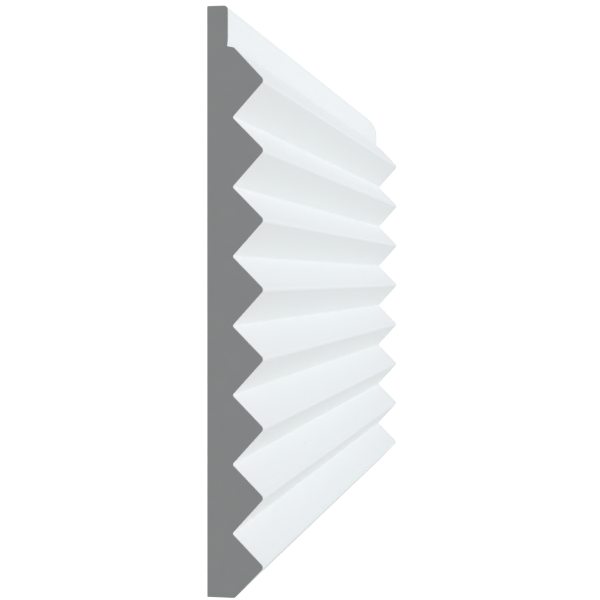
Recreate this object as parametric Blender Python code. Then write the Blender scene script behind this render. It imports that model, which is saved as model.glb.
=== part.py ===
"""Reeded wall panel: one extruded length, a flat lip above eight rounded V ridges.

Run it with: blender --background --python part.py
Metres, +Z up. The back lies on the plane Y = 0 and the ridges point to -Y. The panel runs
along X, and the origin is the middle of the back face.
"""
import math

import bmesh
import bpy
from mathutils import Vector

MM = 0.001

# The length of the piece, along X
PANEL_LENGTH = 500.0 * MM

# The lip along the top: a flat band that stands a little further back than the grooves and
# leans in over its lowest part
LIP_HEIGHT = 17.1 * MM
LIP_THICKNESS = 9.0 * MM
LIP_LEAN = 0.3 * MM
LIP_LEAN_HEIGHT = 2.6 * MM

# The narrow shelf under the lip, which falls a little towards the front
SHELF_DROP = 0.55 * MM
SHELF_EDGE_THICKNESS = 11.6 * MM

# The ridges, measured to the sharp lines that the roundings then ease
RIDGE_COUNT = 8
GROOVE_THICKNESS = 10.95 * MM
CREST_THICKNESS = 24.75 * MM
FIRST_FACE_HEIGHT = 14.12 * MM
UPPER_FACE_HEIGHT = 13.97 * MM
LOWER_FACE_HEIGHT = 15.3 * MM

# The face under the lowest ridge is steeper and stops at the bottom edge
LAST_FACE_HEIGHT = 13.34 * MM
BOTTOM_EDGE_THICKNESS = 12.0 * MM

# Roundings of the section's corners
CREST_RADIUS = 1.8 * MM
GROOVE_RADIUS = 0.9 * MM
LIP_EDGE_RADIUS = 1.8 * MM
LIP_LEAN_RADIUS = 20.0 * MM
LIP_ROOT_RADIUS = 0.3 * MM
SHOULDER_RADIUS = 1.8 * MM
BOTTOM_EDGE_RADIUS = 1.5 * MM
BACK_EDGE_RADIUS = 0.4 * MM

# The upper corner of the lip is worn down in a long curve at the +X end
WORN_CORNER_LENGTH = 42.0 * MM
WORN_CORNER_DROP = 5.6 * MM

# How finely the curves are cut into flats
DEGREES_PER_FLAT = 10.0
WORN_CORNER_FLATS = 12

# Room that the cutter has around what it cuts away
CUTTER_MARGIN = 5.0 * MM

# The finish: a white skin all over a grey foamed core
SKIN_COLOUR = (0.80, 0.83, 0.84, 1.0)
SKIN_ROUGHNESS = 0.6
CORE_COLOUR = (0.22, 0.23, 0.23, 1.0)
CORE_ROUGHNESS = 0.85


def panel_height():
    """The whole height is the sum of the lip, the shelf and the faces of the ridges."""
    between_crests = (RIDGE_COUNT - 1) * (LOWER_FACE_HEIGHT + UPPER_FACE_HEIGHT)
    return LIP_HEIGHT + SHELF_DROP + FIRST_FACE_HEIGHT + between_crests + LAST_FACE_HEIGHT


def section_corners():
    """Corners of the section as (distance from the back, height, rounding), from the back's top
    edge over the front and down to the back's bottom edge."""
    top = panel_height() / 2.0
    bottom = -top
    root = top - LIP_HEIGHT
    corners = [
        (0.0, top, BACK_EDGE_RADIUS),
        (LIP_THICKNESS, top, LIP_EDGE_RADIUS),
        (LIP_THICKNESS, root + LIP_LEAN_HEIGHT, LIP_LEAN_RADIUS),
        (LIP_THICKNESS - LIP_LEAN, root, LIP_ROOT_RADIUS),
        (SHELF_EDGE_THICKNESS, root - SHELF_DROP, SHOULDER_RADIUS),
    ]
    height = root - SHELF_DROP - FIRST_FACE_HEIGHT
    corners.append((CREST_THICKNESS, height, CREST_RADIUS))
    for _ in range(1, RIDGE_COUNT):
        height -= LOWER_FACE_HEIGHT
        corners.append((GROOVE_THICKNESS, height, GROOVE_RADIUS))
        height -= UPPER_FACE_HEIGHT
        corners.append((CREST_THICKNESS, height, CREST_RADIUS))
    corners.append((BOTTOM_EDGE_THICKNESS, bottom, BOTTOM_EDGE_RADIUS))
    corners.append((0.0, bottom, BACK_EDGE_RADIUS))
    return corners


def rounded_corner(before, corner, after, radius):
    """Points of the arc that touches both sides of a corner."""
    to_before = (before - corner).normalized()
    to_after = (after - corner).normalized()
    half_angle = to_before.angle(to_after) / 2.0
    shorter_side = min((before - corner).length, (after - corner).length)
    tangent = min(radius / math.tan(half_angle), 0.45 * shorter_side)
    radius = tangent * math.tan(half_angle)
    centre = corner + (to_before + to_after).normalized() * radius / math.sin(half_angle)
    start = corner + to_before * tangent - centre
    end = corner + to_after * tangent - centre
    sweep = start.angle(end)
    flats = max(2, math.ceil(math.degrees(sweep) / DEGREES_PER_FLAT))
    points = []
    for index in range(flats + 1):
        share = index / flats
        from_start = start * math.sin((1.0 - share) * sweep)
        from_end = end * math.sin(share * sweep)
        points.append(centre + (from_start + from_end) / math.sin(sweep))
    return points


def section_outline():
    """The section with every corner rounded, as (distance from the back, height) points."""
    corners = section_corners()
    outline = []
    for index, (depth, height, radius) in enumerate(corners):
        before = corners[index - 1]
        after = corners[(index + 1) % len(corners)]
        outline += rounded_corner(
            Vector((before[0], before[1])),
            Vector((depth, height)),
            Vector((after[0], after[1])),
            radius,
        )
    return outline


def prism(name, points, along):
    """A closed prism: a flat outline of points, pushed along a vector."""
    mesh = bpy.data.meshes.new(name)
    shape = bmesh.new()
    face = shape.faces.new([shape.verts.new(point) for point in points])
    pushed = bmesh.ops.extrude_face_region(shape, geom=[face])
    moved = [item for item in pushed["geom"] if isinstance(item, bmesh.types.BMVert)]
    bmesh.ops.translate(shape, verts=moved, vec=along)
    bmesh.ops.recalc_face_normals(shape, faces=shape.faces)
    shape.to_mesh(mesh)
    shape.free()
    thing = bpy.data.objects.new(name, mesh)
    bpy.context.scene.collection.objects.link(thing)
    return thing


def worn_corner_cutter():
    """The space above the worn curve of the lip, running through from front to back."""
    end = PANEL_LENGTH / 2.0
    top = panel_height() / 2.0
    curve = []
    for index in range(WORN_CORNER_FLATS + 1):
        angle = math.pi / 2.0 * index / WORN_CORNER_FLATS
        along = end - WORN_CORNER_LENGTH * (1.0 - math.sin(angle))
        height = top - WORN_CORNER_DROP * (1.0 - math.cos(angle))
        curve.append((along, height))
    above = top + CUTTER_MARGIN
    past = end + CUTTER_MARGIN
    outline = curve + [(past, curve[-1][1]), (past, above), (curve[0][0], above)]
    front = -LIP_THICKNESS - CUTTER_MARGIN
    points = [(along, front, height) for along, height in outline]
    cutter = prism("worn_corner_cutter", points, (0.0, CUTTER_MARGIN - front, 0.0))
    cutter.hide_render = True
    cutter.display_type = "WIRE"
    return cutter


def plain_material(name, colour, roughness):
    """A Principled material with a colour and a roughness."""
    material = bpy.data.materials.new(name)
    material.use_nodes = True
    shader = material.node_tree.nodes["Principled BSDF"]
    shader.inputs["Base Color"].default_value = colour
    shader.inputs["Roughness"].default_value = roughness
    shader.inputs["Metallic"].default_value = 0.0
    material.diffuse_color = colour
    return material


def finish_panel(panel):
    """White skin on every face but the two cut ends, which show the grey core."""
    panel.data.materials.append(plain_material("white_skin", SKIN_COLOUR, SKIN_ROUGHNESS))
    panel.data.materials.append(plain_material("grey_core", CORE_COLOUR, CORE_ROUGHNESS))
    for face in panel.data.polygons:
        face.material_index = 1 if abs(face.normal.x) > 0.99 else 0
    panel.data.shade_smooth()
    panel.data.set_sharp_from_angle(angle=math.radians(25.0))


def build_panel():
    """The panel: the section pushed along X, with the lip's worn corner cut away."""
    start = -PANEL_LENGTH / 2.0
    points = [(start, -depth, height) for depth, height in section_outline()]
    panel = prism("reeded_wall_panel", points, (PANEL_LENGTH, 0.0, 0.0))
    finish_panel(panel)
    wear = panel.modifiers.new("worn_corner", "BOOLEAN")
    wear.operation = "DIFFERENCE"
    wear.solver = "EXACT"
    wear.object = worn_corner_cutter()
    return panel


def main():
    for thing in list(bpy.data.objects):
        bpy.data.objects.remove(thing)
    build_panel()


main()
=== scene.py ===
"""Reeded wall panel: the finished looks of one extruded length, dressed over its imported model.

Metres, +Z up. The back lies on Y = 0, the ridges point to -Y and run along X. The camera
stands beyond the end at -X, a little to the front, and looks along the ridges.
"""

import math

import bmesh
import bpy
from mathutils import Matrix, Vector


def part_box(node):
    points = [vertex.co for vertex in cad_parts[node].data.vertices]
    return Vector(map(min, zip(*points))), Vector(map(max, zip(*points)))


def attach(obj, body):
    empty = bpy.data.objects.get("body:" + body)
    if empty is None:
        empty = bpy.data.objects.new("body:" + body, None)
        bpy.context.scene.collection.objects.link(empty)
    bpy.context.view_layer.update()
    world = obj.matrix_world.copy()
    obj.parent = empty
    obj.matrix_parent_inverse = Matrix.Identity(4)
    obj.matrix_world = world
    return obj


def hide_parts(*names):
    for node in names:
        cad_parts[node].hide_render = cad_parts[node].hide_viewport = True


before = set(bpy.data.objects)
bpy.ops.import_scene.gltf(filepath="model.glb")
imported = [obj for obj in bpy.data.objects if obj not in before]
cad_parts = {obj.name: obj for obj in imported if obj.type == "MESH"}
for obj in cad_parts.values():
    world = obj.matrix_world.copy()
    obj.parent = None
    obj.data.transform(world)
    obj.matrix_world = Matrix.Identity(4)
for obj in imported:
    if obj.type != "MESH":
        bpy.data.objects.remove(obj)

bl_info = {
    "name": "Reeded wall panel",
    "version": (1, 0, 0),
    "blender": (4, 5, 0),
    "location": "3D View > Sidebar > Reeded panel",
    "description": "Builds a length of V-reeded wall panel with its finish and a plain studio",
    "category": "Object",
}

MM = 0.001
NODE = "reeded_wall_panel"
BODY = "root"
LOW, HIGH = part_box(NODE)

# Material slots of the finished mesh
SKIN = 0
CORE = 1

# How finely the mesh is divided. The two numbers of the pit are shares of its radius
FLAT_DEGREES = 5.0
SHARP_DEGREES = 30.0
SIDE_STEP = 3.0 * MM
STATION_STEP = 8.0 * MM
WORN_STEP = 1.5 * MM
SMALLEST_GAP = 0.05 * MM
PIT_REACH = 1.3
PIT_STEP = 0.15

# Where the lights stand, in degrees towards the near end and above the level
SIDE_LIGHT_TURN = 40.0
HIGH_LIGHT_RISE = 20.0
LOW_LIGHT_RISE = -20.0
BACK_LIGHT_TURN = 205.0
BACK_LIGHT_RISE = 10.0
SOFTBOX_RISE = 20.0

# Most values of a noise lie between these two
NOISE_RANGE = (0.3, 0.7)

# The shine of the cut core and of the floor
CORE_GLOSS = 0.2
FLOOR_GLOSS = 0.1
FLOOR_ROUGHNESS = 0.9

# The floor plate, the surround as the camera sees it, and the camera's body
WHITE = (1.0, 1.0, 1.0)
FLOOR_RADIUS = 20.0
FLOOR_SIDES = 64
SEEN_SURROUND = 1.05
SENSOR_WIDTH = 36.0
NEAREST_SEEN = 0.01
FURTHEST_SEEN = 200.0


def length_property(name, description, millimetres):
    """A size given in millimetres, kept as a Blender length."""
    return bpy.props.FloatProperty(
        name=name,
        description=description,
        default=millimetres * MM,
        min=0.0,
        unit="LENGTH",
        precision=5,
    )


def place_property(name, description, metres):
    """A place in the part's frame."""
    return bpy.props.FloatVectorProperty(
        name=name,
        description=description,
        default=metres,
        subtype="TRANSLATION",
        unit="LENGTH",
        precision=4,
    )


def colour_property(name, description, colour):
    """A linear colour without alpha."""
    return bpy.props.FloatVectorProperty(
        name=name,
        description=description,
        default=colour,
        min=0.0,
        max=1.0,
        subtype="COLOR",
    )


def angle_property(name, description, degrees):
    """An angle given in degrees."""
    return bpy.props.FloatProperty(
        name=name, description=description, default=math.radians(degrees), subtype="ANGLE"
    )


def number_property(name, description, value, top=1.0):
    """A plain number from nought to top."""
    return bpy.props.FloatProperty(
        name=name, description=description, default=value, min=0.0, max=top, precision=4
    )


class PanelSection(bpy.types.PropertyGroup):
    """Sizes of the section, the sawn edges, the worn corner and the small pit"""

    lip_height: length_property("Lip height", "Height of the flat band along the top", 17.1)
    lip_thickness: length_property("Lip thickness", "From the back to the front of the lip", 9.0)
    lip_lean: length_property("Lip lean", "How far the lip leans in at its root", 0.3)
    lean_height: length_property("Lean height", "Height over which the lip leans in", 2.6)
    shelf_drop: length_property("Shelf drop", "How far the shelf under the lip falls", 0.55)
    shelf_thickness: length_property("Shelf thickness", "Thickness at the shelf's edge", 11.6)
    ridge_count: bpy.props.IntProperty(
        name="Ridges", description="How many V ridges there are", default=8, min=1
    )
    groove_thickness: length_property("Groove thickness", "Material behind a sharp groove", 10.95)
    crest_thickness: length_property("Crest thickness", "Material behind a sharp crest", 24.75)
    first_face: length_property("First face", "Height of the face under the shelf", 14.12)
    upper_face: length_property("Upper face", "Height of a face that looks up", 13.97)
    lower_face: length_property("Lower face", "Height of a face that looks down", 15.3)
    bottom_thickness: length_property("Bottom thickness", "Thickness at the bottom edge", 12.0)
    crest_radius: length_property("Crest radius", "Rounding of the crests", 1.8)
    groove_radius: length_property("Groove radius", "Rounding of the groove bottoms", 0.9)
    lip_edge_radius: length_property("Lip edge radius", "Rounding of the lip's top edge", 1.8)
    lean_radius: length_property("Lean radius", "Rounding where the lip starts to lean", 20.0)
    lip_root_radius: length_property("Lip root radius", "Rounding where the lip starts", 0.3)
    shoulder_radius: length_property("Shoulder radius", "Rounding of the shelf's edge", 1.8)
    bottom_radius: length_property("Bottom radius", "Rounding of the bottom front edge", 1.5)
    back_radius: length_property("Back radius", "Rounding of the two back edges", 0.4)
    arris: length_property("Arris", "Softening of the sawn edges at the ends", 0.05)
    worn_length: length_property("Worn length", "Length of the worn corner of the lip", 42.0)
    worn_drop: length_property("Worn drop", "How far the worn corner falls", 5.6)
    pit_along: length_property("Pit along", "From the end at -X to the small pit", 143.8)
    pit_height: length_property("Pit height", "From the bottom edge to the small pit", 50.4)
    pit_radius: length_property("Pit radius", "Radius of the small pit", 0.75)
    pit_depth: length_property("Pit depth", "Depth of the small pit", 0.05)


class PanelFinish(bpy.types.PropertyGroup):
    """Colours and surfaces of the white skin, with the light and shade painted into it, and of the
    grey core
    """

    skin_colour: colour_property("Skin", "Colour of the white skin", (0.864, 0.892, 0.898))
    # Painted light: a cooler white laid on the skin towards the crests
    crest_painted_tint: colour_property("Skin on crests", "Skin at the crests", (0.858, 0.894, 0.908))
    # Painted light: a lighter white on the lip's front, fading out under the lip
    lip_painted_light: colour_property("Skin on the lip", "Skin on the lip's front", (0.864, 0.898, 0.911))
    end_colour: colour_property("Skin at the ends", "Skin by the saw cuts", (0.873, 0.893, 0.902))
    end_reach: length_property("End reach", "How far from a saw cut the skin is changed", 75.0)
    # Painted light: how far under the lip the lighter white reaches
    lip_reach: length_property("Lip reach", "How far under the lip its colour fades out", 13.0)
    # Painted shade at the foot of the lip, and how far up it goes
    root_shade: number_property("Root shade", "Loss of white at the foot of the lip", 0.018)
    root_reach: length_property("Root reach", "How far up the lip that shade goes", 5.0)
    # Painted shade on the very crests, and how far back from them it goes
    crest_shade: number_property("Crest shade", "Loss of white on the crests", 0.02)
    crest_reach: length_property("Crest reach", "How far back from a crest that shade goes", 1.6)
    # Painted shade: a dark speck in the small pit
    speck_shade: number_property("Speck shade", "Loss of white in the small pit", 0.7)
    speck_radius: length_property("Speck radius", "Radius of the dark speck in the pit", 0.45)
    skin_roughness: number_property("Skin roughness", "Roughness of the white skin", 0.62)
    skin_gloss: number_property("Skin gloss", "Specular level of the white skin", 0.35)
    skin_grain: length_property("Skin grain", "Size of the primer's fine grain", 0.5)
    skin_lines: length_property("Skin lines", "Spacing of the faint lines of the die", 1.6)
    core_colour: colour_property("Core", "Colour of the cut foamed core", (0.261, 0.271, 0.272))
    core_roughness: number_property("Core roughness", "Roughness of the cut core", 0.85)
    core_cells: length_property("Core cells", "Size of the foam's cells", 0.35)


class PanelStage(bpy.types.PropertyGroup):
    """Camera, light and floor"""

    lens: bpy.props.FloatProperty(
        name="Lens", description="Focal length", default=91.03, min=1.0, unit="CAMERA"
    )
    eye: place_property("Eye", "Where the camera stands", (-0.8748, -0.1507, 0.0102))
    turn: angle_property("Turn", "How far the camera turns towards the wall", 10.059)
    dip: angle_property("Dip", "How far the camera looks down", 0.819)
    roll: angle_property("Roll", "How far the camera leans to its side", 0.042)
    floor_drop: length_property("Floor drop", "From the panel's bottom edge to the floor", 350.0)
    floor_colour: colour_property("Floor", "Colour of the floor", (0.93, 0.93, 0.93))
    clear_floor: length_property("Clear floor", "Radius in which the floor stays pale", 450.0)
    white_floor: length_property("White floor", "Radius from which the floor is white", 1400.0)
    floor_glow: number_property("Floor glow", "Light that the floor has of its own", 0.12)
    rim_glow: number_property("Rim glow", "Light of its own that the floor has far out", 0.45)
    ambient: number_property("Ambient", "Strength of the light from all round", 0.63, 10.0)
    high_light: number_property("High light", "Strength of the raised side light", 0.736, 50.0)
    high_colour: colour_property("High colour", "A cool white", (0.962, 0.959, 1.0))
    low_light: number_property("Low light", "Strength of the low side light", 0.340, 50.0)
    low_colour: colour_property("Low colour", "A warm white", (0.997, 1.0, 0.914))
    back_light: number_property("Back light", "Strength of the light from behind", 0.9, 50.0)
    light_spread: angle_property("Light spread", "How wide each of those lights is", 50.0)
    softbox_power: number_property("Softbox power", "Power of the softbox in front", 0.95, 50.0)
    softbox_size: length_property("Softbox size", "Width of the round softbox", 600.0)
    softbox_reach: length_property("Softbox reach", "From the panel to the softbox", 800.0)


def section_corners(section):
    """Corners of the section as (distance from the back, height, rounding), from the back's top
    edge over the front and down to the back's bottom edge."""
    root = HIGH.z - section.lip_height
    shelf_edge = root - section.shelf_drop
    corners = [
        (0.0, HIGH.z, section.back_radius),
        (section.lip_thickness, HIGH.z, section.lip_edge_radius),
        (section.lip_thickness, root + section.lean_height, section.lean_radius),
        (section.lip_thickness - section.lip_lean, root, section.lip_root_radius),
        (section.shelf_thickness, shelf_edge, section.shoulder_radius),
    ]
    height = shelf_edge - section.first_face
    corners.append((section.crest_thickness, height, section.crest_radius))
    for _ in range(1, section.ridge_count):
        height -= section.lower_face
        corners.append((section.groove_thickness, height, section.groove_radius))
        height -= section.upper_face
        corners.append((section.crest_thickness, height, section.crest_radius))
    corners.append((section.bottom_thickness, LOW.z, section.bottom_radius))
    corners.append((0.0, LOW.z, section.back_radius))
    return corners


def rounded_corner(before, corner, after, radius):
    """Points of the arc that touches both sides of a corner of the section."""
    to_before = (before - corner).normalized()
    to_after = (after - corner).normalized()
    half_angle = to_before.angle(to_after) / 2.0
    tangent = radius / math.tan(half_angle)
    centre = corner + (to_before + to_after).normalized() * radius / math.sin(half_angle)
    start = corner + to_before * tangent - centre
    end = corner + to_after * tangent - centre
    sweep = start.angle(end)
    flats = math.ceil(sweep / math.radians(FLAT_DEGREES))
    points = []
    for index in range(flats + 1):
        share = index / flats
        from_start = start * math.sin((1.0 - share) * sweep)
        from_end = end * math.sin(share * sweep)
        points.append(centre + (from_start + from_end) / math.sin(sweep))
    return points


def even_steps(start, end, step):
    """Numbers from start to end, evenly spaced by about the step."""
    count = max(1, round((end - start) / step))
    return [start + (end - start) * index / count for index in range(count + 1)]


def merged(places, gap):
    """The places in order, without any that lies closer than the gap to the one before."""
    kept = []
    for place in sorted(places):
        if not kept or place - kept[-1] > gap:
            kept.append(place)
    return kept


def pit_spread(centre, section):
    """Fine steps across the pit, either side of its centre."""
    reach = PIT_REACH * section.pit_radius
    return even_steps(centre - reach, centre + reach, PIT_STEP * section.pit_radius)


def pit_in_section(section):
    """Where the pit lies in the section: on the face that looks up at the pit's height."""
    height = LOW.z + section.pit_height
    corners = section_corners(section)
    for above, below in zip(corners, corners[1:]):
        looks_up = below[0] > above[0] and below[1] < above[1]
        if looks_up and below[1] < height < above[1]:
            share = (above[1] - height) / (above[1] - below[1])
            return Vector((above[0] + (below[0] - above[0]) * share, height))
    raise RuntimeError("The small pit lies on no face that looks up")


def straight_side(start, end, section):
    """Points from start up to, but without, end, with fine ones where the pit is."""
    length = (end - start).length
    along = (end - start) / length
    places = even_steps(0.0, length, SIDE_STEP)
    pit = pit_in_section(section)
    foot = (pit - start).dot(along)
    if 0.0 < foot < length and (start + along * foot - pit).length < section.pit_depth:
        places += [place for place in pit_spread(foot, section) if 0.0 < place < length]
    kept = [place for place in merged(places, SMALLEST_GAP) if place < length - SMALLEST_GAP]
    return [start + along * place for place in kept]


def section_outline(section):
    """The closed outline of the section as (distance from the back, height) points."""
    corners = section_corners(section)
    arcs = []
    for index, (depth, height, radius) in enumerate(corners):
        before = corners[index - 1]
        after = corners[(index + 1) % len(corners)]
        arcs.append(
            rounded_corner(
                Vector((before[0], before[1])),
                Vector((depth, height)),
                Vector((after[0], after[1])),
                radius,
            )
        )
    outline = []
    for index, arc in enumerate(arcs):
        following = arcs[(index + 1) % len(arcs)]
        outline += arc[:-1] + straight_side(arc[-1], following[0], section)
    deepest = -LOW.y
    return [Vector((min(point.x, deepest), point.y)) for point in outline]


def outward_directions(outline):
    """The way out of the solid at each point of the outline."""
    directions = []
    for index, point in enumerate(outline):
        before = outline[index - 1]
        after = outline[(index + 1) % len(outline)]
        along = (point - before).normalized() + (after - point).normalized()
        directions.append(Vector((-along.y, along.x)).normalized())
    return directions


def stations(section):
    """Places along the length where the section is set, closer on the worn corner and the pit."""
    start = LOW.x + section.arris
    end = HIGH.x - section.arris
    pit = LOW.x + section.pit_along
    places = even_steps(start, end, STATION_STEP)
    places += even_steps(HIGH.x - section.worn_length, end, WORN_STEP)
    places += pit_spread(pit, section)
    kept = merged(places, SMALLEST_GAP)
    kept[-1] = end
    return kept


def worn_fall(along, section):
    """How far the lip's top has fallen at a place along the length."""
    into = (along - (HIGH.x - section.worn_length)) / section.worn_length
    level = math.sqrt(max(0.0, 1.0 - max(0.0, into) ** 2))
    return section.worn_drop * (1.0 - level)


def surface_point(along, point, outward, section, pit):
    """One point of the surface, with the lip's worn corner and the small pit worked in."""
    depth, height = point
    lip_root = HIGH.z - section.lip_height + section.lip_root_radius
    lip_flat_top = HIGH.z - section.lip_edge_radius
    lifted = (height - lip_root) / (lip_flat_top - lip_root)
    height -= worn_fall(along, section) * min(max(lifted, 0.0), 1.0)
    from_pit = math.hypot(along - (LOW.x + section.pit_along), (point - pit).length)
    if from_pit < section.pit_radius:
        bowl = (1.0 - (from_pit / section.pit_radius) ** 2) ** 2
        depth -= outward.x * section.pit_depth * bowl
        height -= outward.y * section.pit_depth * bowl
    return Vector((along, -depth, height))


def build_mesh(name, section):
    """The panel as one closed mesh: rings of the section along X and a flat face at each end."""
    outline = section_outline(section)
    outward = outward_directions(outline)
    inset = [point - way * section.arris for point, way in zip(outline, outward)]
    pit = pit_in_section(section)
    rows = [(LOW.x, inset)]
    rows += [(along, outline) for along in stations(section)]
    rows += [(HIGH.x, inset)]

    shape = bmesh.new()
    rings = []
    for along, points in rows:
        ring = []
        for point, way in zip(points, outward):
            ring.append(shape.verts.new(surface_point(along, point, way, section, pit)))
        rings.append(ring)
    count = len(outline)
    for ring, following in zip(rings, rings[1:]):
        for index in range(count):
            after = (index + 1) % count
            corners = (ring[index], ring[after], following[after], following[index])
            shape.faces.new(corners).material_index = SKIN
    for ring in (rings[0], rings[-1]):
        shape.faces.new(ring).material_index = CORE
    bmesh.ops.recalc_face_normals(shape, faces=shape.faces)
    mesh = bpy.data.meshes.new(name)
    shape.to_mesh(mesh)
    shape.free()
    mesh.shade_smooth()
    mesh.set_sharp_from_angle(angle=math.radians(SHARP_DEGREES))
    return mesh


class NodeBench:
    """Adds and joins the shader nodes of one material."""

    def __init__(self, name):
        self.material = bpy.data.materials.new(name)
        self.material.use_nodes = True
        self.tree = self.material.node_tree
        self.shader = self.tree.nodes["Principled BSDF"]
        self.place = self.add("ShaderNodeTexCoord").outputs["Object"]

    def add(self, kind, **settings):
        """A new node with its settings."""
        node = self.tree.nodes.new(kind)
        for setting, value in settings.items():
            setattr(node, setting, value)
        return node

    def join(self, output, socket):
        """A link from an output to an input."""
        self.tree.links.new(output, socket)

    def maths(self, operation, value, other=None):
        """The outcome of an operation on a socket and, where it needs one, another value."""
        node = self.add("ShaderNodeMath", operation=operation)
        self.join(value, node.inputs[0])
        if isinstance(other, float):
            node.inputs[1].default_value = other
        elif other is not None:
            self.join(other, node.inputs[1])
        return node.outputs["Value"]

    def stretched(self, scale):
        """The object's own coordinates, scaled along each axis."""
        mapping = self.add("ShaderNodeMapping")
        mapping.inputs["Scale"].default_value = scale
        self.join(self.place, mapping.inputs["Vector"])
        return mapping.outputs["Vector"]

    def noise(self, scale, detail, vector=None):
        """A noise with a scale in repeats per metre."""
        node = self.add("ShaderNodeTexNoise")
        node.inputs["Scale"].default_value = scale
        node.inputs["Detail"].default_value = detail
        self.join(vector or self.place, node.inputs["Vector"])
        return node.outputs["Fac"]

    def span(self, value, low, high, inputs=NOISE_RANGE):
        """A value between low and high, by where the given one lies between the two inputs."""
        node = self.add("ShaderNodeMapRange")
        node.inputs["From Min"].default_value = inputs[0]
        node.inputs["From Max"].default_value = inputs[1]
        node.inputs["To Min"].default_value = low
        node.inputs["To Max"].default_value = high
        self.join(value, node.inputs["Value"])
        return node.outputs["Result"]

    def tint(self, value, colour, darker, lighter):
        """The colour, made darker or lighter by a noise."""
        node = self.add("ShaderNodeMix", data_type="RGBA")
        node.inputs["A"].default_value = (*[min(1.0, part * darker) for part in colour], 1.0)
        node.inputs["B"].default_value = (*[min(1.0, part * lighter) for part in colour], 1.0)
        self.join(value, node.inputs["Factor"])
        return node.outputs["Result"]

    def covered(self, under, colour, share):
        """A plain colour laid over another one, by a share from nought to one."""
        node = self.add("ShaderNodeMix", data_type="RGBA")
        node.inputs["B"].default_value = (*colour, 1.0)
        self.join(under, node.inputs["A"])
        self.join(share, node.inputs["Factor"])
        return node.outputs["Result"]

    def bump(self, height, distance, strength, under=None):
        """A bump of that height in metres, over another bump if there is one."""
        node = self.add("ShaderNodeBump")
        node.inputs["Distance"].default_value = distance
        node.inputs["Strength"].default_value = strength
        self.join(height, node.inputs["Height"])
        if under is not None:
            self.join(under, node.inputs["Normal"])
        return node.outputs["Normal"]


def shaded(colour, loss):
    """The colour with a share of its light taken away."""
    return [part * (1.0 - loss) for part in colour]


def skin_white(bench, finish, section):
    """The skin's white. It drifts a little and shifts by the saw cuts. Painted light makes it
    cooler from groove to crest and lighter on the lip's front; painted shade makes it duller at the
    lip's foot and on the very crests, and dark in the pit."""
    drifts_per_metre = 9.0
    drift = bench.span(bench.noise(drifts_per_metre, detail=2.0), 0.0, 1.0)
    white = bench.tint(drift, finish.skin_colour, darker=0.995, lighter=1.004)
    parts = bench.add("ShaderNodeSeparateXYZ")
    bench.join(bench.place, parts.inputs["Vector"])
    along = parts.outputs["X"]
    depth = parts.outputs["Y"]
    height = parts.outputs["Z"]

    # Painted light: the cooler tint grows from the groove bottoms out to the crests
    outward = bench.span(depth, 1.0, 0.0, (LOW.y, -section.groove_thickness))
    white = bench.covered(white, finish.crest_painted_tint, outward)

    from_middle = bench.maths("ABSOLUTE", along)
    near_cut = bench.span(from_middle, 0.0, 1.0, (HIGH.x - finish.end_reach, HIGH.x))
    white = bench.covered(white, finish.end_colour, near_cut)

    root = HIGH.z - section.lip_height
    half_lip = 0.5 * section.lip_thickness
    front = bench.maths("LESS_THAN", depth, -half_lip)
    # Painted light: lighter on the front of the lip and for a way below its root
    painted_lip_light_mask = bench.span(height, 0.0, 1.0, (root - finish.lip_reach, root))
    painted_lip_light_mask = bench.maths("MULTIPLY", painted_lip_light_mask, front)
    white = bench.covered(white, finish.lip_painted_light, painted_lip_light_mask)

    # Painted shade: darker at the foot of the lip, fading out up its front
    on_lip = bench.maths("GREATER_THAN", height, root)
    painted_root_shade_mask = bench.span(height, 1.0, 0.0, (root, root + finish.root_reach))
    painted_root_shade_mask = bench.maths("MULTIPLY", painted_root_shade_mask, on_lip)
    painted_root_shade_mask = bench.maths("MULTIPLY", painted_root_shade_mask, front)
    white = bench.covered(white, shaded(finish.lip_painted_light, finish.root_shade), painted_root_shade_mask)

    # Painted shade: darker on the very crests
    painted_crest_shade_mask = bench.span(depth, 1.0, 0.0, (LOW.y, LOW.y + finish.crest_reach))
    white = bench.covered(white, shaded(finish.crest_painted_tint, finish.crest_shade), painted_crest_shade_mask)

    # Painted shade: dark in the small pit, darkest in its middle
    pit = pit_in_section(section)
    from_pit = bench.add("ShaderNodeVectorMath", operation="DISTANCE")
    from_pit.inputs[1].default_value = (LOW.x + section.pit_along, -pit.x, pit.y)
    bench.join(bench.place, from_pit.inputs[0])
    darkest_part = 0.5 * finish.speck_radius
    rim = (darkest_part, finish.speck_radius)
    painted_pit_shade_mask = bench.span(from_pit.outputs["Value"], 1.0, 0.0, rim)
    return bench.covered(white, shaded(finish.skin_colour, finish.speck_shade), painted_pit_shade_mask)


def skin_material(finish, section):
    """White primer on the extruded skin: a fine grain over faint lines that the die left."""
    bench = NodeBench("white_primed_skin")
    bench.join(skin_white(bench, finish, section), bench.shader.inputs["Base Color"])
    patches_per_metre = 60.0
    roughness_spread = 0.03
    roughness = bench.span(
        bench.noise(patches_per_metre, detail=3.0),
        finish.skin_roughness - roughness_spread,
        finish.skin_roughness + roughness_spread,
    )
    bench.join(roughness, bench.shader.inputs["Roughness"])
    lines_along = 1.5
    lines_across = 1.0 / finish.skin_lines
    relief = 0.02 * MM
    drawn_out = bench.stretched((lines_along, lines_across, lines_across))
    lines = bench.noise(1.0, detail=2.0, vector=drawn_out)
    grain = bench.noise(1.0 / finish.skin_grain, detail=2.0)
    lined = bench.bump(lines, relief, strength=0.35)
    grained = bench.bump(grain, relief, strength=0.25, under=lined)
    bench.join(grained, bench.shader.inputs["Normal"])
    bench.shader.inputs["Specular IOR Level"].default_value = finish.skin_gloss
    return bench.material


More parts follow.
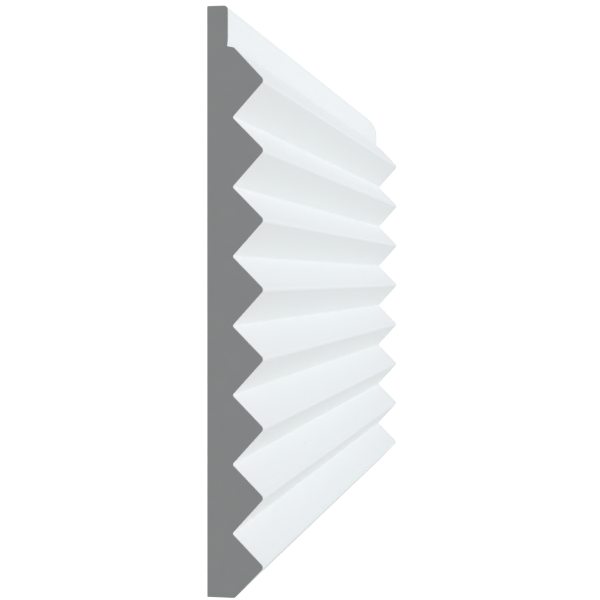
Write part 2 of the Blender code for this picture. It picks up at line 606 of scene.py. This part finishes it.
def core_material(finish):
    """The cut core: close-celled grey foam, slightly mottled."""
    bench = NodeBench("grey_foamed_core")
    mottles_per_metre = 120.0
    mottle = bench.span(bench.noise(mottles_per_metre, detail=3.0), 0.0, 1.0)
    colour = bench.tint(mottle, finish.core_colour, darker=0.985, lighter=1.015)
    bench.join(colour, bench.shader.inputs["Base Color"])
    cells = bench.add("ShaderNodeTexVoronoi", feature="F1")
    cells.inputs["Scale"].default_value = 1.0 / finish.core_cells
    bench.join(bench.place, cells.inputs["Vector"])
    relief = 0.04 * MM
    pocked = bench.bump(cells.outputs["Distance"], relief, strength=0.3)
    bench.join(pocked, bench.shader.inputs["Normal"])
    bench.shader.inputs["Roughness"].default_value = finish.core_roughness
    bench.shader.inputs["Specular IOR Level"].default_value = CORE_GLOSS
    return bench.material


def aim(thing, direction):
    """Turns a lamp or a camera so that it looks along a direction."""
    thing.rotation_euler = Vector(direction).to_track_quat("-Z", "Y").to_euler()


def soft_sun(name, turn, rise, strength, spread, colour=WHITE):
    """A very wide soft light, the same everywhere. It comes from so many degrees round from
    the front towards the near end, and so many degrees above the level."""
    lamp = bpy.data.lights.new(name, "SUN")
    lamp.energy = strength
    lamp.angle = spread
    lamp.color = colour
    thing = bpy.data.objects.new(name, lamp)
    bpy.context.scene.collection.objects.link(thing)
    round_by = math.radians(turn)
    up_by = math.radians(rise)
    flat = math.cos(up_by)
    aim(thing, (math.sin(round_by) * flat, math.cos(round_by) * flat, -math.sin(up_by)))


def softbox(name, stage):
    """A round softbox straight in front of the panel and a little above it."""
    up_by = math.radians(SOFTBOX_RISE)
    lamp = bpy.data.lights.new(name, "AREA")
    lamp.shape = "DISK"
    lamp.size = stage.softbox_size
    lamp.energy = stage.softbox_power
    thing = bpy.data.objects.new(name, lamp)
    thing.visible_camera = False
    bpy.context.scene.collection.objects.link(thing)
    towards = Vector((0.0, math.cos(up_by), -math.sin(up_by)))
    thing.location = towards * -stage.softbox_reach
    aim(thing, towards)


def studio_world(ambient):
    """A white surround, with the strength of the light it gives set apart from its own white."""
    world = bpy.data.worlds.new("white_studio")
    world.use_nodes = True
    tree = world.node_tree
    light = tree.nodes["Background"]
    light.inputs["Color"].default_value = (*WHITE, 1.0)
    light.inputs["Strength"].default_value = ambient
    seen = tree.nodes.new("ShaderNodeBackground")
    seen.inputs["Color"].default_value = (*WHITE, 1.0)
    seen.inputs["Strength"].default_value = SEEN_SURROUND
    mix = tree.nodes.new("ShaderNodeMixShader")
    path = tree.nodes.new("ShaderNodeLightPath")
    tree.links.new(path.outputs["Is Camera Ray"], mix.inputs["Fac"])
    tree.links.new(light.outputs["Background"], mix.inputs[1])
    tree.links.new(seen.outputs["Background"], mix.inputs[2])
    tree.links.new(mix.outputs["Shader"], tree.nodes["World Output"].inputs["Surface"])
    bpy.context.scene.world = world


def floor_material(stage):
    """A pale plain floor that glows a little more further out, where it meets the surround."""
    bench = NodeBench("pale_floor")
    clouds_per_metre = 2.0
    cloud = bench.span(bench.noise(clouds_per_metre, detail=2.0), 0.0, 1.0)
    colour = bench.tint(cloud, stage.floor_colour, darker=0.995, lighter=1.005)
    bench.join(colour, bench.shader.inputs["Base Color"])
    bench.shader.inputs["Roughness"].default_value = FLOOR_ROUGHNESS
    bench.shader.inputs["Specular IOR Level"].default_value = FLOOR_GLOSS
    from_middle = bench.add("ShaderNodeVectorMath", operation="LENGTH")
    bench.join(bench.place, from_middle.inputs["Vector"])
    glow = bench.span(
        from_middle.outputs["Value"],
        stage.floor_glow,
        stage.rim_glow,
        (stage.clear_floor, stage.white_floor),
    )
    bench.join(glow, bench.shader.inputs["Emission Strength"])
    return bench.material


def build_floor(stage):
    """The floor, a wide round plate below the panel. It takes the panel's shadow, and gives the
    panel no light."""
    mesh = bpy.data.meshes.new("floor")
    shape = bmesh.new()
    bmesh.ops.create_circle(shape, cap_ends=True, radius=FLOOR_RADIUS, segments=FLOOR_SIDES)
    shape.to_mesh(mesh)
    shape.free()
    floor = bpy.data.objects.new("floor", mesh)
    floor.location.z = LOW.z - stage.floor_drop
    floor.data.materials.append(floor_material(stage))
    floor.visible_diffuse = False
    floor.visible_glossy = False
    floor.visible_transmission = False
    floor.visible_shadow = False
    bpy.context.scene.collection.objects.link(floor)


def build_camera(stage):
    """The camera at the place and the angle of the photograph."""
    lens = bpy.data.cameras.new("camera")
    lens.lens = stage.lens
    lens.sensor_width = SENSOR_WIDTH
    lens.clip_start = NEAREST_SEEN
    lens.clip_end = FURTHEST_SEEN
    camera = bpy.data.objects.new("camera", lens)
    camera.location = stage.eye
    flat = math.cos(stage.dip)
    aim(camera, (math.cos(stage.turn) * flat, math.sin(stage.turn) * flat, -math.sin(stage.dip)))
    camera.rotation_euler.rotate_axis("Z", stage.roll)
    bpy.context.scene.collection.objects.link(camera)
    bpy.context.scene.camera = camera


class REEDED_OT_panel(bpy.types.Operator):
    """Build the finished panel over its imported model"""

    bl_idname = "reeded.panel"
    bl_label = "Build the panel"

    def execute(self, context):
        """Makes the mesh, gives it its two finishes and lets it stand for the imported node."""
        scene = context.scene
        panel = bpy.data.objects.new("panel", build_mesh("panel", scene.reeded_section))
        scene.collection.objects.link(panel)
        skin = skin_material(scene.reeded_finish, scene.reeded_section)
        panel.data.materials.append(skin)
        panel.data.materials.append(core_material(scene.reeded_finish))
        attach(panel, BODY)
        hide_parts(NODE)
        return {"FINISHED"}


class REEDED_OT_stage(bpy.types.Operator):
    """Build the floor, the lights and the camera"""

    bl_idname = "reeded.stage"
    bl_label = "Build the studio"

    def execute(self, context):
        """Sets the studio up round the panel."""
        stage = context.scene.reeded_stage
        build_floor(stage)
        build_camera(stage)
        studio_world(stage.ambient)
        spread = stage.light_spread
        turn = SIDE_LIGHT_TURN
        high = (stage.high_light, spread, stage.high_colour)
        low = (stage.low_light, spread, stage.low_colour)
        soft_sun("high_light", turn, HIGH_LIGHT_RISE, *high)
        soft_sun("low_light", turn, LOW_LIGHT_RISE, *low)
        soft_sun("back_light", BACK_LIGHT_TURN, BACK_LIGHT_RISE, stage.back_light, spread)
        softbox("front_softbox", stage)
        context.scene.view_settings.view_transform = "Standard"
        return {"FINISHED"}


class REEDED_PT_sidebar(bpy.types.Panel):
    """Lists the sizes, the finishes and the operators"""

    bl_idname = "REEDED_PT_sidebar"
    bl_label = "Reeded panel"
    bl_space_type = "VIEW_3D"
    bl_region_type = "UI"
    bl_category = "Reeded panel"

    def draw(self, context):
        """Shows every group of settings under its operator."""
        scene = context.scene
        for operator, groups in (
            (REEDED_OT_panel, (scene.reeded_section, scene.reeded_finish)),
            (REEDED_OT_stage, (scene.reeded_stage,)),
        ):
            box = self.layout.box()
            box.operator(operator.bl_idname)
            for group in groups:
                for name in group.__annotations__:
                    box.prop(group, name)


CLASSES = (
    PanelSection,
    PanelFinish,
    PanelStage,
    REEDED_OT_panel,
    REEDED_OT_stage,
    REEDED_PT_sidebar,
)


def register():
    """Registers the classes and hangs the settings on the scene."""
    for item in CLASSES:
        bpy.utils.register_class(item)
    bpy.types.Scene.reeded_section = bpy.props.PointerProperty(type=PanelSection)
    bpy.types.Scene.reeded_finish = bpy.props.PointerProperty(type=PanelFinish)
    bpy.types.Scene.reeded_stage = bpy.props.PointerProperty(type=PanelStage)


def unregister():
    """Takes the settings and the classes away again."""
    del bpy.types.Scene.reeded_stage
    del bpy.types.Scene.reeded_finish
    del bpy.types.Scene.reeded_section
    for item in reversed(CLASSES):
        bpy.utils.unregister_class(item)


def main():
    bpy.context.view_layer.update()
    register()
    bpy.ops.reeded.panel()
    bpy.ops.reeded.stage()


if __name__ == "__main__":
    main()
